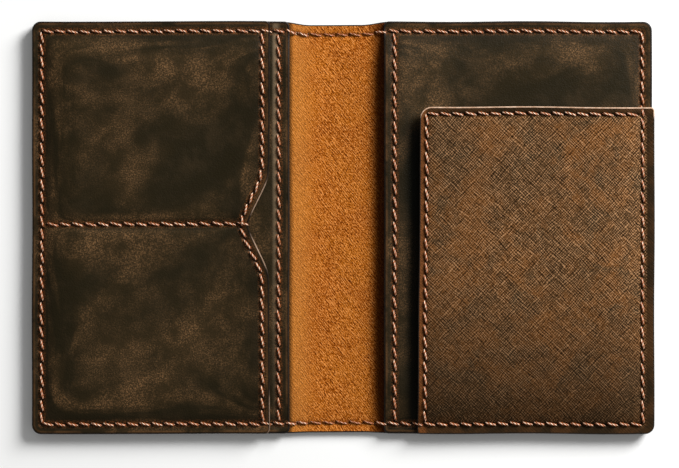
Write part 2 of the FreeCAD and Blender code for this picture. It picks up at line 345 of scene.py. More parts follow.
def ticket_under(x, y):
    """Curled up towards its mouth, most at the top, where it is open too."""
    rise = TICKET_GAP * lift(x, y, above=False)
    to_top = TICKET_LEAST_CURL + (1 - TICKET_LEAST_CURL) * ramp(y, -60, 30)
    from_bottom = ramp(HALF_HEIGHT + y, 2, 16)
    curl = (1 - ramp(x - TICKET_MOUTH, 0, TICKET_GAPE_REACH)) * to_top * from_bottom
    waviness = uneven(x, y, "ticket") * lift(x, y, above=False)
    return sleeve_top(x, y) + CLEARANCE + rise + TICKET_GAPE * curl + waviness


def ticket_top(x, y):
    return ticket_under(x, y) + TICKET


def visible_top(x, y):
    """Height of the leather that shows from above, without the seams' grooves."""
    on_sleeve = (x < -LEFT_MOUTH) | (x > RIGHT_MOUTH)
    height = np.where(on_sleeve, sleeve_top(x, y), cover_top(x, y))
    height = np.where(x < -CARD_MOUTH - notch(y), card_top(x, y), height)
    on_ticket = (x > TICKET_MOUTH) & (y < TICKET_TOP_EDGE)
    return np.where(on_ticket, ticket_top(x, y), height)


def notch(y):
    """How far the thumb notch takes the card panel's mouth edge back: a V with a soft start."""
    softness, peak = 0.02, 0.92
    u = (y - NOTCH_MIDDLE) / NOTCH_HALF
    tent = 1 - np.sqrt(u * u + NOTCH_TIP**2) / math.hypot(1, NOTCH_TIP)
    return NOTCH_DEPTH * (tent + np.sqrt(tent * tent + softness)) / 2 / peak


# ---------------------------------------------------------------- seams

def outer_seam(sign):
    """The outer seam on one half, from the end of the bending zone round to it again."""
    column, start = sign * SEAM_COLUMN, sign * BEND_END
    return [(start, SEAM_LEVEL), (column, SEAM_LEVEL), (column, -SEAM_LEVEL), (start, -SEAM_LEVEL)]


def upright_seam(x):
    """A seam from just under the outer seam to just above it."""
    return [(x, SEAM_LEVEL - STITCH_GAP), (x, -SEAM_LEVEL + STITCH_GAP)]


def spine_seam(level):
    """The outer seam across the bending zone."""
    return [(BEND_END, level), (-BEND_END, level)]


def card_mouth_seam():
    """Along the card panel's mouth, round the thumb notch."""
    end, samples = SEAM_LEVEL - STITCH_GAP, 140
    levels = np.linspace(end, -end, samples)
    depth = notch(levels)
    slope = np.gradient(depth, levels)
    across = CARD_INSET * np.sqrt(1 + slope**2)
    return list(zip(-CARD_MOUTH - depth - across, levels))


def divider_seam():
    """Between the two card slots, from the outer seam to the bottom of the thumb notch."""
    inset_at_tip = 1.45 * CARD_INSET
    notch_seam = CARD_MOUTH + NOTCH_DEPTH + inset_at_tip
    start, end = -SEAM_COLUMN + MEETING_GAP, -notch_seam + DIVIDER_OVERRUN
    return [(start, DIVIDER_LEVEL), (end, DIVIDER_LEVEL)]


def ticket_edge_seam():
    """Along the ticket pocket's top and down its inner edge, which slants a little."""
    level, column = TICKET_TOP_EDGE - TICKET_INSET, TICKET_MOUTH + TICKET_INSET
    low_end = (column - 0.9 * TICKET_SLANT, -SEAM_LEVEL + STITCH_GAP)
    return [(SEAM_COLUMN - MEETING_GAP, level), (column, level), low_end]


OUTER_SEAM = [(0.0, SEAM_LEVEL), (SEAM_COLUMN, SEAM_LEVEL), (SEAM_COLUMN, 0.0)]
SEAMS = {
    "right_outer": outer_seam(1),
    "left_outer": outer_seam(-1),
    "left_mouth": upright_seam(-LEFT_MOUTH - MOUTH_INSET),
    "right_mouth": upright_seam(RIGHT_MOUTH + MOUTH_INSET),
    "card_mouth": card_mouth_seam(),
    "divider": divider_seam(),
    "ticket_edge": ticket_edge_seam(),
    "spine_top": spine_seam(SEAM_LEVEL),
    "spine_bottom": spine_seam(-SEAM_LEVEL),
}


def runs_of(path):
    """Splits a path at its sharp corners, so that a stitch ends at each."""
    sharp = math.radians(60)
    runs, run = [], [path[0]]
    for before, point, after in zip(path[:-2], path[1:-1], path[2:]):
        run.append(point)
        a = math.atan2(point[1] - before[1], point[0] - before[0])
        b = math.atan2(after[1] - point[1], after[0] - point[0])
        if abs((b - a + math.pi) % (2 * math.pi) - math.pi) > sharp:
            runs.append(run)
            run = [point]
    return runs + [run + [path[-1]]]


def stitches_of(path):
    """The two holes of each stitch: each run is divided evenly, close to the pitch."""
    stitches = []
    for run in runs_of(path):
        points = np.array(run, float)
        lengths = np.concatenate([[0], np.cumsum(np.hypot(*np.diff(points, axis=0).T))])
        count = max(1, round(lengths[-1] / PITCH))
        marks = np.linspace(0, lengths[-1], count + 1)
        x = np.interp(marks, lengths, points[:, 0])
        y = np.interp(marks, lengths, points[:, 1])
        stitches += list(zip(zip(x[:-1], y[:-1]), zip(x[1:], y[1:])))
    return stitches


STITCHES = {name: stitches_of(path) for name, path in SEAMS.items()}


def groove(x, y, names):
    """How deep seams and their holes pull the leather in."""
    seam = distance_to_seams(x, y, names)
    holes = distance_to_holes(x, y, names)
    return dent(seam, NARROW_GROOVE) + dent(seam, WIDE_GROOVE) + dent(holes, HOLE)


# ---------------------------------------------------------------- sheets of leather

def row_levels(low, high, low_radius, high_radius):
    """Levels of a sheet's rows: even in the middle, and following the arcs of its corners."""
    arc = np.sin(np.radians([0, 20, 40, 58, 75, 90]))
    start, end = low + low_radius, high - high_radius
    count = max(2, round((end - start) / CELL))
    middle = np.linspace(start, end, count + 1)[1:-1]
    return np.concatenate([start - low_radius * arc[::-1], middle, end + high_radius * arc])


def corner_pull(radius, overrun):
    """How far a round corner takes a side in, where a row runs over the corner's start."""
    over = np.clip(overrun, 0, radius)
    return radius - np.sqrt(np.maximum(radius**2 - over**2, 0))


def corners_pull(y, low, high, low_radius, high_radius):
    """The same for a side's two corners together."""
    high_corner = corner_pull(high_radius, y - high + high_radius)
    return high_corner + corner_pull(low_radius, low + low_radius - y)


def full_rows(edge):
    """Rows of a sheet of full height, and what its outer and its mouth's corners take off each."""
    high, radius = HALF_HEIGHT - edge, CORNER - edge
    levels = row_levels(-high, high, radius, radius)
    outer = corners_pull(levels, -high, high, radius, radius)
    return levels, outer, corners_pull(levels, -high, high, MOUTH_CORNER, MOUTH_CORNER)


def warp(points):
    """A slight unevenness in plan, shared by all the layers, so that no edge is ruler-straight."""
    x, y, z = points.T
    across = EDGE_WANDER * waves(0 * x, y, 21, WANDER_LENGTH) * ramp(np.abs(x), 0, 30)
    along = EDGE_WANDER * waves(x, 0 * y, 22, WANDER_LENGTH)
    at_spine = 1 - ramp(np.abs(x + 2), 9, 18)
    dip = np.where(y > 0, SPINE_DIP_TOP, -SPINE_DIP_BOTTOM) * ramp(np.abs(y), 40, HALF_HEIGHT)
    return np.column_stack([x + across, y + along - at_spine * dip, z])


def plan_grid(levels, left, right, seams):
    """A flat grid between two side lines, finer along the seams: points, faces, outline."""
    mesh = bmesh.new()
    columns = max(2, round(float(np.max(right - left)) / CELL))
    grid = []
    for level, start, end in zip(levels, left, right):
        grid.append([mesh.verts.new((x, level, 0)) for x in np.linspace(start, end, columns + 1)])
    for lower, upper in zip(grid[:-1], grid[1:]):
        for i in range(columns):
            mesh.faces.new((lower[i], lower[i + 1], upper[i + 1], upper[i]))
    mesh.edges.ensure_lookup_table()
    faces = list(mesh.faces)
    centres = np.array([face.calc_center_median()[:2] for face in faces])
    near = distance_to_seams(centres[:, 0], centres[:, 1], seams)
    chosen = {edge for face, gap in zip(faces, near) if gap < REFINE for edge in face.edges}
    inner = [edge for edge in mesh.edges if edge in chosen and not edge.is_boundary]
    bmesh.ops.subdivide_edges(mesh, edges=inner, cuts=REFINE_CUTS, use_grid_fill=True)
    many_sided = [face for face in mesh.faces if len(face.verts) > 4]
    bmesh.ops.triangulate(mesh, faces=many_sided)
    mesh.verts.index_update()
    loop = outline_loop(mesh)
    points = np.array([vert.co[:2] for vert in mesh.verts])
    polygons = [[vert.index for vert in face.verts] for face in mesh.faces]
    mesh.free()
    return points, polygons, loop


def outline_loop(mesh):
    """Indices of the outline's vertices, in order, with the sheet on their left."""
    follows = {}
    for edge in mesh.edges:
        if edge.is_boundary:
            corner = edge.link_loops[0]
            follows[corner.vert.index] = corner.link_loop_next.vert.index
    start = min(follows)
    loop, at = [start], follows[start]
    while at != start:
        loop.append(at)
        at = follows[at]
    return np.array(loop)


def outward_directions(outline, cuts):
    """Unit vectors out of the sheet, and zero at a cut, where the next piece continues it."""
    along = np.roll(outline, -1, axis=0) - outline
    along /= np.maximum(np.hypot(*along.T), 1e-9)[:, None]
    tangent = along + np.roll(along, 1, axis=0)
    tangent /= np.maximum(np.hypot(*tangent.T), 1e-9)[:, None]
    out = np.stack([tangent[:, 1], -tangent[:, 0]], axis=1)
    touching = 1e-4
    height = np.abs(outline[:, 1])
    for cut in cuts:
        at_cut = np.abs(outline[:, 0] - cut) < touching
        at_end = at_cut & (np.abs(height - height.max()) < touching)
        out[at_cut] = 0
        out[at_end, 1] = np.sign(outline[at_end, 1])
    return out


def edge_rings(outline, out, top, under, edge, fullness):
    """Points round a sheet's edge, ring by ring, in a half round from its top to its underside."""
    middle, half = (top + under) / 2, (top - under) / 2
    rings = []
    for step in range(1, EDGE_STEPS):
        angle = math.pi * step / EDGE_STEPS
        reach = edge * math.sin(angle) ** fullness
        rings.append(np.column_stack([outline + out * reach, middle + half * math.cos(angle)]))
    return rings


def band_faces(rings):
    """Quads between rings of vertex numbers that follow each other."""
    faces = []
    for ring, next_ring in zip(rings[:-1], rings[1:]):
        for i in range(len(ring)):
            j = (i + 1) % len(ring)
            faces.append([ring[j], ring[i], next_ring[i], next_ring[j]])
    return faces


def edge_distances(x, y, outline, rim_start, cuts):
    """Distance from a sheet's edge. Beside a cut, only the top and bottom edges count."""
    beside = 6
    path = [tuple(point) for point in outline]
    distance = distance_to_path(x, y, path + path[:1])
    distance[rim_start:] = 0
    for cut in cuts:
        from_ends = np.maximum(HALF_HEIGHT - np.abs(y), 0)
        distance = np.where(np.abs(x - cut) < beside, from_ends, distance)
    return distance


def nowhere(x, y):
    return 0 * x


def make_sheet(name, rows, surfaces, seams, materials, edge, fullness=0.6, cuts=(), raw=nowhere):
    """A closed sheet of leather, with a rounded edge.

    rows are the levels of its rows with their left and right ends, without the rounding, which
    adds edge mm. surfaces are its top and underside, and materials its top, edge and underside.
    cuts are where the next piece continues it, and raw says where its edge was left pale.
    """
    top, under = surfaces
    points, polygons, loop = plan_grid(*rows, seams)
    x, y = points.T
    top_level, under_level = top(x, y), under(x, y)
    upper = np.column_stack([points, top_level - groove(x, y, seams)])
    lower = np.column_stack([points, under_level])
    outline = points[loop]
    out = outward_directions(outline, cuts)
    rings = edge_rings(outline, out, top_level[loop], under_level[loop], edge, fullness)
    vertices = np.concatenate([upper, lower, *rings])

    count, size = len(points), len(loop)
    numbers = [2 * count + size * i + np.arange(size) for i in range(len(rings))]
    rim = band_faces([loop, *numbers, count + loop])
    underside = [[count + i for i in reversed(polygon)] for polygon in polygons]
    kinds = [0] * len(polygons) + [2] * len(underside) + [1] * len(rim)

    made = make_object(name, vertices, polygons + underside + rim, kinds, materials)
    x, y, _ = vertices.T
    edge_mm = edge_distances(x, y, outline, 2 * count, cuts)
    add_numbers(made, "seam_mm", np.minimum(distance_to_seams(x, y, seams), WEAR_REACH))
    add_numbers(made, "edge_mm", np.minimum(edge_mm, WEAR_REACH))
    add_numbers(made, "raw", raw(x, y))
    made.data.set_sharp_from_angle(angle=math.radians(60))
    return made


def make_object(name, vertices, faces, kinds, materials):
    """A mesh object from millimetres, with its unbent place kept in "rest" for the materials."""
    data = bpy.data.meshes.new(name)
    data.from_pydata((warp(vertices) * MM).tolist(), [], faces)
    for material in materials:
        data.materials.append(material)
    data.polygons.foreach_set("material_index", kinds)
    data.polygons.foreach_set("use_smooth", [True] * len(faces))
    data.update()
    attribute = data.attributes.new("rest", "FLOAT_VECTOR", "POINT")
    attribute.data.foreach_set("vector", vertices.astype(np.float32).ravel())
    made = bpy.data.objects.new(name, data)
    bpy.context.scene.collection.objects.link(made)
    return made


def add_numbers(made, name, values):
    """Keeps one number for each vertex, which the materials read by its name."""
    attribute = made.data.attributes.new(name, "FLOAT", "POINT")
    attribute.data.foreach_set("value", np.asarray(values, np.float32))


# ---------------------------------------------------------------- thread

def strand_faces(start):
    """Faces of one strand's tube, closed at both ends."""
    faces = []
    for ring in range(STRAND_STEPS):
        a, b = start + ring * STRAND_SIDES, start + (ring + 1) * STRAND_SIDES
        for i in range(STRAND_SIDES):
            j = (i + 1) % STRAND_SIDES
            faces.append((a + i, a + j, b + j, b + i))
    end = start + STRAND_STEPS * STRAND_SIDES
    faces.append(tuple(start + i for i in reversed(range(STRAND_SIDES))))
    faces.append(tuple(end + i for i in range(STRAND_SIDES)))
    return faces


def stitch_line(first, last, levels, side, size):
    """The line that a stitch's strands are twisted round, in an arch from hole to hole.

    Returns its points, the directions beside it and away from the leather, and the arch.
    """
    a, b = np.array(first), np.array(last)
    length = np.linalg.norm(b - a)
    along = (b - a) / length
    across = np.array([-along[1], along[0]])
    turn = -LEAN if abs(along[0]) > abs(along[1]) else UPRIGHT_LEAN
    turn *= side
    heading = along * math.cos(turn) + across * math.sin(turn)
    u = np.linspace(0, 1, STRAND_STEPS + 1)
    arch = 1 - np.abs(2 * u - 1) ** ARCH_FLATNESS
    rise = -STITCH_SINK + (STITCH_SINK + STITCH_RISE * size) * arch
    height = levels[0] + (levels[1] - levels[0]) * u + side * rise
    distance = (2 * u - 1) * ((length - STITCH_GAP) / 2)
    line = np.column_stack([(a + b) / 2 + np.outer(distance, heading), height])
    tilt = np.arctan(np.gradient(height, distance))
    normal = np.column_stack([-np.outer(np.sin(tilt), heading), np.cos(tilt)])
    beside = np.array([-heading[1], heading[0], 0.0])
    return line, np.tile(beside, (len(u), 1)), normal, arch


def twisted_strands(line, beside, normal, arch, side, size, phase):
    """The strands' points, ring by ring, and how far each point is on the stitch's crest."""
    turns = np.linspace(0, TWIST_TURNS, STRAND_STEPS + 1)
    radius = STRAND_RADIUS * size * (END_TAPER + (1 - END_TAPER) * np.sqrt(arch))
    points, crests = [], []
    for strand in range(STRANDS):
        angle = phase + 2 * math.pi * (strand / STRANDS + turns)
        twist = np.cos(angle)[:, None] * beside + np.sin(angle)[:, None] * normal
        centre = line + TWIST_RADIUS * size * twist
        rings = []
        for spoke_angle in 2 * math.pi * np.arange(STRAND_SIDES) / STRAND_SIDES:
            spoke = math.cos(spoke_angle) * beside + math.sin(spoke_angle) * normal
            rings.append(centre + radius[:, None] * spoke)
        points.append(np.stack(rings, axis=1).reshape(-1, 3))
        crests.append(np.repeat(ramp(side * np.sin(angle), 0.5, 1), STRAND_SIDES))
    return np.concatenate(points), np.concatenate(crests)


def leather_levels(first, last, side, size):
    """Height of the leather near both ends of a stitch."""
    if side == BACK:
        return [BACK_LEVEL + STITCH_RISE * size] * 2
    from_end = 0.2
    samples = np.array([from_end, 1 - from_end])
    xs = first[0] + (last[0] - first[0]) * samples
    ys = first[1] + (last[1] - first[1]) * samples
    return visible_top(xs, ys)


def make_thread(name, stitches, seed, size=1.0, pale=1.0):
    """A seam's thread. Each stitch is its two holes and its side, inside or back.

    It is painted pale as a highlight where a strand crosses over the others, on some stitches more than
    on others.
    """
    rng = np.random.default_rng(seed)
    vertices, faces, painted_highlights = [], [], []
    start = 0
    for first, last, side in stitches:
        shift = rng.normal(0, HOLE_SCATTER, 4)
        first = (first[0] + shift[0], first[1] + shift[1])
        last = (last[0] + shift[2], last[1] + shift[3])
        levels = leather_levels(first, last, side, size)
        arched = stitch_line(first, last, levels, side, size)
        points, crests = twisted_strands(*arched, side, size, rng.uniform(0, 2 * math.pi))
        vertices.append(points)
        # Painted highlight: pale on the strands' crests, away from the leather.
        painted_highlights.append(crests * rng.uniform(0.5, 1.0) * pale)
        for _ in range(STRANDS):
            faces += strand_faces(start)
            start += len(points) // STRANDS
    made = make_object(name, np.concatenate(vertices), faces, [0] * len(faces), [waxed_thread()])
    add_numbers(made, "painted_highlight", np.concatenate(painted_highlights))
    return made


# ---------------------------------------------------------------- materials

def colour(red, green, blue):
    """A colour given on the 0 to 255 scale of a screen, as linear light."""
    linear = []
    for part in (red / 255, green / 255, blue / 255):
        linear.append(part / 12.92 if part <= 0.04045 else ((part + 0.055) / 1.055) ** 2.4)
    return (*linear, 1.0)


class Shader:
    """A material and short ways to add its nodes."""

    def __init__(self, name, roughness, specular):
        self.material = bpy.data.materials.new(name)
        self.material.use_nodes = True
        self.tree = self.material.node_tree
        self.surface = self.tree.nodes["Principled BSDF"]
        self.surface.inputs["Roughness"].default_value = roughness
        self.surface.inputs["Specular IOR Level"].default_value = specular

    def add(self, kind, inputs, settings=None):
        """A node, with links or values for its inputs."""
        node = self.tree.nodes.new("ShaderNode" + kind)
        for key, value in (settings or {}).items():
            setattr(node, key, value)
        for key, value in inputs.items():
            self.connect(value, node.inputs[key])
        return node

    def connect(self, value, socket):
        if isinstance(value, bpy.types.NodeSocket):
            self.tree.links.new(value, socket)
        else:
            socket.default_value = value

    def number(self, name):
        """A number that add_numbers kept on the mesh."""
        return self.add("Attribute", {}, {"attribute_name": name}).outputs["Fac"]

    def rest(self, turn=0.0, scale=(1, 1, 1)):
        """The unbent place in millimetres, turned about Z and scaled."""
        place = self.add("Attribute", {}, {"attribute_name": "rest"}).outputs["Vector"]
        turned = self.add("Mapping", {"Vector": place, "Rotation": (0, 0, math.radians(turn))})
        return self.add("Mapping", {"Vector": turned.outputs[0], "Scale": scale}).outputs[0]

    def rest_axes(self, turn=0.0):
        """The unbent place as X, Y and Z."""
        return self.add("SeparateXYZ", {0: self.rest(turn)}).outputs

    def noise(self, vector, scale, detail, roughness, distortion=0.0):
        inputs = {"Vector": vector, "Scale": scale, "Detail": detail, "Roughness": roughness,
                  "Distortion": distortion}
        return self.add("TexNoise", inputs).outputs[0]

    def ranged(self, value, low, high, start=0.0, end=1.0):
        """Goes smoothly from start to end while the value goes from low to high."""
        inputs = {0: value, 1: low, 2: high, 3: start, 4: end}
        return self.add("MapRange", inputs, {"interpolation_type": "SMOOTHSTEP"}).outputs[0]

    def maths(self, operation, a, b=0.0):
        return self.add("Math", {0: a, 1: b}, {"operation": operation}).outputs[0]

    def plus(self, a, b):
        return self.maths("ADD", a, b)

    def times(self, a, *others):
        for other in others:
            a = self.maths("MULTIPLY", a, other)
        return a

    def mix(self, amount, a, b):
        node = self.add("Mix", {}, {"data_type": "RGBA"})
        self.connect(amount, node.inputs[0])
        self.connect(a, node.inputs[6])
        self.connect(b, node.inputs[7])
        return node.outputs[2]

    def coats(self, base, coats):
        """Colours laid over each other, each with how much of it covers what is below."""
        for amount, tint in coats:
            base = self.mix(amount, base, colour(*tint))
        return base

    def bump(self, height, distance):
        """Fine relief, that many metres high."""
        inputs = {"Height": height, "Distance": distance, "Strength": 1.0}
        return self.add("Bump", inputs).outputs[0]

    def finish(self, base, normal):
        self.connect(base, self.surface.inputs["Base Color"])
        self.connect(normal, self.surface.inputs["Normal"])
        return self.material


def grain(shader):
    """Fine leather grain: small pebbles with pores between."""
    pebbles = shader.add("TexVoronoi", {"Vector": shader.rest(), "Scale": 1.6}).outputs["Distance"]
    fine = shader.noise(shader.rest(), 2.6, 4.0, 0.65)
    return shader.plus(shader.times(pebbles, 0.5), fine)


def painted_sheen_band(shader):
    """How far the left sleeve gets a painted sheen, lighter and greyish, on the smooth pressed band just
    past the card slots' mouth, stronger higher up.
    """
    x, y, z = shader.rest_axes()
    start = shader.ranged(x, -CARD_MOUTH + 0.4, -CARD_MOUTH + 1.6)
    end = shader.ranged(x, -CARD_MOUTH + 1.8, -CARD_MOUTH + 4.0, 0.62, 0.0)
    inside = shader.ranged(z, COVER, COVER + 0.4)
    upper = shader.ranged(y, -62.0, 40.0, 0.2, 1.0)
    return shader.times(start, end, inside, upper)


def painted_shadow_band(shader):
    """How far the right sleeve is darkened by painted shadow from the ticket pocket's raised mouth,
    beside that mouth.
    """
    x, y, z = shader.rest_axes()
    near = shader.ranged(x, TICKET_MOUTH - 6.5, TICKET_MOUTH - 2.0, 0.0, 0.88)
    past = shader.ranged(x, TICKET_MOUTH + 3, TICKET_MOUTH + 9, 1.0, 0.0)
    below = shader.ranged(y, TICKET_TOP_EDGE - 10, TICKET_TOP_EDGE - 2, 1.0, 0.0)
    inside = shader.ranged(z, COVER, COVER + 0.4)
    return shader.times(near, past, below, inside)


@cache
def panel_leather():
    """Dark olive brown oiled leather: cloudy, with speckled tan patches where it was rubbed."""
    shader = Shader("panel_leather", 0.5, 0.08)
    clouds = shader.noise(shader.rest(-24, (0.020, 0.040, 1)), 1.0, 3.0, 0.55, 0.4)
    mottle = shader.noise(shader.rest(), 0.12, 4.0, 0.6, 0.2)
    speck = shader.noise(shader.rest(), 2.2, 2.0, 0.75)
    seam, edge = shader.number("seam_mm"), shader.number("edge_mm")
    patches = shader.times(shader.ranged(clouds, 0.40, 0.68), shader.ranged(mottle, 0.32, 0.66))
    rubbed_dots = shader.times(patches, shader.ranged(speck, 0.46, 0.66), 0.9)
    pores = shader.ranged(speck, 0.30, 0.46, 0.35, 0.0)
    dark_rim = shader.ranged(edge, 3.5, 8.5, 0.30, 0.0)
    worn_seam = shader.times(shader.ranged(seam, 0.5, 1.8, 0.75, 0.0), shader.ranged(speck, 0.46, 0.60))
    rubbed_edge = shader.times(shader.ranged(edge, 0.4, 1.1, 0.6, 0.0), shader.ranged(mottle, 0.35, 0.6))
    base = shader.mix(shader.ranged(clouds, 0.36, 0.68), colour(33, 27, 13), colour(49, 38, 21))
    base = shader.coats(base, [
        (shader.ranged(mottle, 0.45, 0.75, 0.0, 0.5), (56, 43, 25)),
        (shader.times(patches, 0.20), (80, 59, 36)),
        (rubbed_dots, (128, 94, 60)),
        (pores, (24, 18, 9)),
        (dark_rim, (26, 20, 10)),
        # Painted sheen: a lighter greyish band beside the card slots' mouth.
        (painted_sheen_band(shader), (124, 106, 82)),
        # Painted shadow: the ticket pocket's raised mouth shading the right sleeve.
        (painted_shadow_band(shader), (8, 9, 4)),
        (worn_seam, (124, 75, 38)),
        (rubbed_edge, (92, 62, 34)),
        (shader.ranged(edge, 0.05, 0.45, 0.8, 0.0), (10, 7, 3)),
        # Painted shade: darker in the seams' grooves.
        (shader.ranged(seam, 0.15, 0.70, 0.85, 0.0), (20, 8, 2)),
    ])
    shader.connect(shader.ranged(mottle, 0.3, 0.7, 0.40, 0.56), shader.surface.inputs["Roughness"])
    return shader.finish(base, shader.bump(grain(shader), 0.00010))


def hatching(shader, turn, pitch):
    """Short brushed lines at an angle, about a pitch apart, stronger here and there: -1 to 1."""
    wander = shader.noise(shader.rest(turn, (0.45, 0.10, 1)), 1.0, 2.0, 0.6)
    steps = shader.times(shader.rest_axes(turn)[0], 2 * math.pi / pitch)
    lines = shader.maths("SINE", shader.plus(steps, shader.times(wander, 16.0)))
    strength = shader.noise(shader.rest(turn, (1.6, 0.26, 1)), 1.0, 2.0, 0.65)
    return shader.times(lines, shader.ranged(strength, 0.36, 0.66, 0.15, 1.0))


@cache
def ticket_leather():
    """Leather brushed in a fine crosshatch, with orange and olive patches and a plain border."""
    shader = Shader("ticket_leather", 0.6, 0.04)
    x, y, _ = shader.rest_axes()
    speck = shader.noise(shader.rest(), 2.4, 2.0, 0.7)
    crosshatch = shader.plus(hatching(shader, 43, 0.72), hatching(shader, -46, 0.76))
    weave = shader.plus(crosshatch, shader.ranged(speck, 0.35, 0.65, -0.5, 0.5))
    patches = shader.noise(shader.rest(), 0.075, 4.0, 0.65, 0.4)
    olive = shader.noise(shader.rest(), 0.10, 3.0, 0.6, 0.6)
    middle = shader.mix(shader.ranged(patches, 0.38, 0.64), colour(80, 56, 32), colour(114, 72, 34))
    middle = shader.coats(middle, [
        (shader.ranged(olive, 0.52, 0.70, 0.0, 0.7), (66, 54, 36)),
        (shader.ranged(weave, -1.0, 0.1, 0.95, 0.0), (28, 15, 3)),
        (shader.ranged(weave, 0.1, 1.3, 0.0, 0.80), (176, 132, 92)),
        (shader.ranged(y, -66.0, -5.0, 0.66, 0.0), (32, 22, 10)),
        (shader.ranged(x, 30.0, 60.0, 0.22, 0.0), (34, 24, 11)),
    ])
    border = shader.mix(shader.ranged(patches, 0.4, 0.6), colour(38, 28, 15), colour(66, 43, 22))
    border = shader.coats(border, [
        (shader.ranged(x, TICKET_MOUTH + 1.6, TICKET_MOUTH + 3.0, 0.8, 0.0), (112, 66, 32)),
        (shader.ranged(speck, 0.40, 0.56, 0.5, 0.0), (44, 28, 12)),
    ])
    on_border = shader.ranged(shader.number("edge_mm"), 1.9, 2.8, 1.0, 0.0)
    # Painted shade: darker in the seams' grooves.
    painted_seam_shade = shader.ranged(shader.number("seam_mm"), 0.15, 0.8, 0.85, 0.0)
    base = shader.coats(shader.mix(on_border, middle, border), [(painted_seam_shade, (16, 8, 2))])
    height = shader.plus(weave, shader.times(grain(shader), 0.25))
    return shader.finish(base, shader.bump(height, 0.00004))


@cache
def suede():
    """The leather's flesh side: short brushed nap, with painted shade darkening it towards both sleeves
    and painted light on its left.
    """
    shader = Shader("suede", 0.95, 0.03)
    shader.surface.inputs["Sheen Weight"].default_value = 0.04
    shader.surface.inputs["Sheen Roughness"].default_value = 0.6
    shader.surface.inputs["Sheen Tint"].default_value = colour(255, 170, 90)
    x = shader.rest_axes()[0]
    brushed = shader.noise(shader.rest(52, (1.5, 3.7, 1)), 1.0, 2.0, 0.7, 0.4)
    streaks = shader.plus(brushed, shader.times(hatching(shader, -38, 0.74), 0.10))
    nap = shader.noise(shader.rest(), 3.0, 2.0, 0.7)
    clouds = shader.noise(shader.rest(), 0.07, 3.0, 0.6, 0.3)
    contrast = shader.ranged(x, -14.0, -5.0, 0.8, 1.0)
    base = shader.mix(shader.ranged(clouds, 0.35, 0.65), colour(158, 81, 12), colour(175, 97, 18))
    base = shader.coats(base, [
        (shader.times(shader.ranged(streaks, 0.50, 0.66), contrast), (220, 142, 72)),
        (shader.times(shader.ranged(streaks, 0.36, 0.52, 1.0, 0.0), contrast), (92, 36, 2)),
        # Painted light: lighter on the left of the spine, where its hollow faces the light.
        (shader.ranged(x, -15.5, -8.0, 0.35, 0.0), (206, 138, 66)),
        # Painted shadow: the right sleeve's raised mouth shading the suede.
        (shader.ranged(x, 7.5, 13.0, 0.0, 0.88), (58, 22, 2)),
        # Painted shade: darker under the left sleeve's mouth edge.
        (shader.ranged(x, -LEFT_MOUTH, -LEFT_MOUTH + 1.5, 0.75, 0.0), (58, 34, 8)),
        # Painted shade: darker in the seam's groove.
        (shader.ranged(shader.number("seam_mm"), 0.2, 1.0, 0.75, 0.0), (60, 28, 6)),
    ])
    height = shader.plus(streaks, shader.times(nap, 0.3))
    return shader.finish(base, shader.bump(height, 0.00032))


@cache
def cut_edge():
    """A cut edge: waxed and rubbed dark, and pale where it was left raw."""
    shader = Shader("cut_edge", 0.6, 0.2)
    fibre = shader.noise(shader.rest(0, (0.5, 0.5, 4)), 1.0, 3.0, 0.6)
    dark = shader.mix(shader.ranged(fibre, 0.35, 0.65), colour(9, 6, 3), colour(34, 23, 13))
    pale = shader.mix(shader.ranged(fibre, 0.3, 0.7), colour(168, 132, 104), colour(214, 182, 156))
    base = shader.mix(shader.number("raw"), dark, pale)
    return shader.finish(base, shader.bump(fibre, 0.0001))


@cache
def waxed_thread():
    """Copper-coloured waxed thread, painted pale as a highlight on its crests."""
    shader = Shader("seam_thread", 0.30, 0.45)
    fibre = shader.noise(shader.rest(), 3.0, 3.0, 0.6)
    # Painted highlight on the strands' crests.
    base = shader.mix(shader.number("painted_highlight"), colour(166, 90, 42), colour(255, 226, 196))
    base = shader.coats(base, [(shader.ranged(fibre, 0.35, 0.55, 0.5, 0.0), (104, 50, 22))])
    return shader.finish(base, shader.bump(fibre, 0.00005))


# ---------------------------------------------------------------- the pieces

def make_half_cover(side, sign):
    """The outer cover on one half: suede inside, leather outside."""
    levels, pull, _ = full_rows(COVER_EDGE)
    outer = HALF_WIDTH - COVER_EDGE - pull
    inner = 0 * levels + BEND_END
    rows = (levels, inner, outer) if sign > 0 else (levels, -outer, -inner)
    piece = make_sheet(f"cover_{side}", rows, (cover_top, cover_under), [f"{side}_outer"],
                       [suede(), cut_edge(), panel_leather()], COVER_EDGE, cuts=[sign * BEND_END])
    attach(piece, f"{side}_half")
    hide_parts(f"outer_cover_{side}")


def spine_stitches(left, right):
    """The outer seam's stitches across one fold, on the inside and the back."""
    tolerance = 0.01
    stitches = []
    for name in ("spine_top", "spine_bottom"):
        for first, last in STITCHES[name]:
            if left <= (first[0] + last[0]) / 2 + tolerance < right:
                stitches += [(first, last, INSIDE), (first, last, BACK)]
    return stitches


def make_folds():
    """The cover and its thread across the bending zone: one piece of each for each hinge."""
    levels = full_rows(COVER_EDGE)[0]
    for number, (place, right_body, left_body) in enumerate(FOLDS, 1):
        left, right = place - STRIP / 2, place + STRIP / 2
        piece = make_sheet(f"cover_fold_{number}", (levels, 0 * levels + left, 0 * levels + right),
                           (cover_top, cover_under), ["spine_top", "spine_bottom"],
                           [suede(), cut_edge(), panel_leather()], COVER_EDGE, cuts=[left, right])
        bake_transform(piece)
        thread = make_thread(f"thread_fold_{number}", spine_stitches(left, right), 40 + number,
                             SPINE_THREAD_SIZE, SPINE_THREAD_PALE)
        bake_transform(thread)
        if number < len(FOLDS):
            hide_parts(f"outer_cover_spine_{number}")
            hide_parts(f"spine_stitching_{number}")


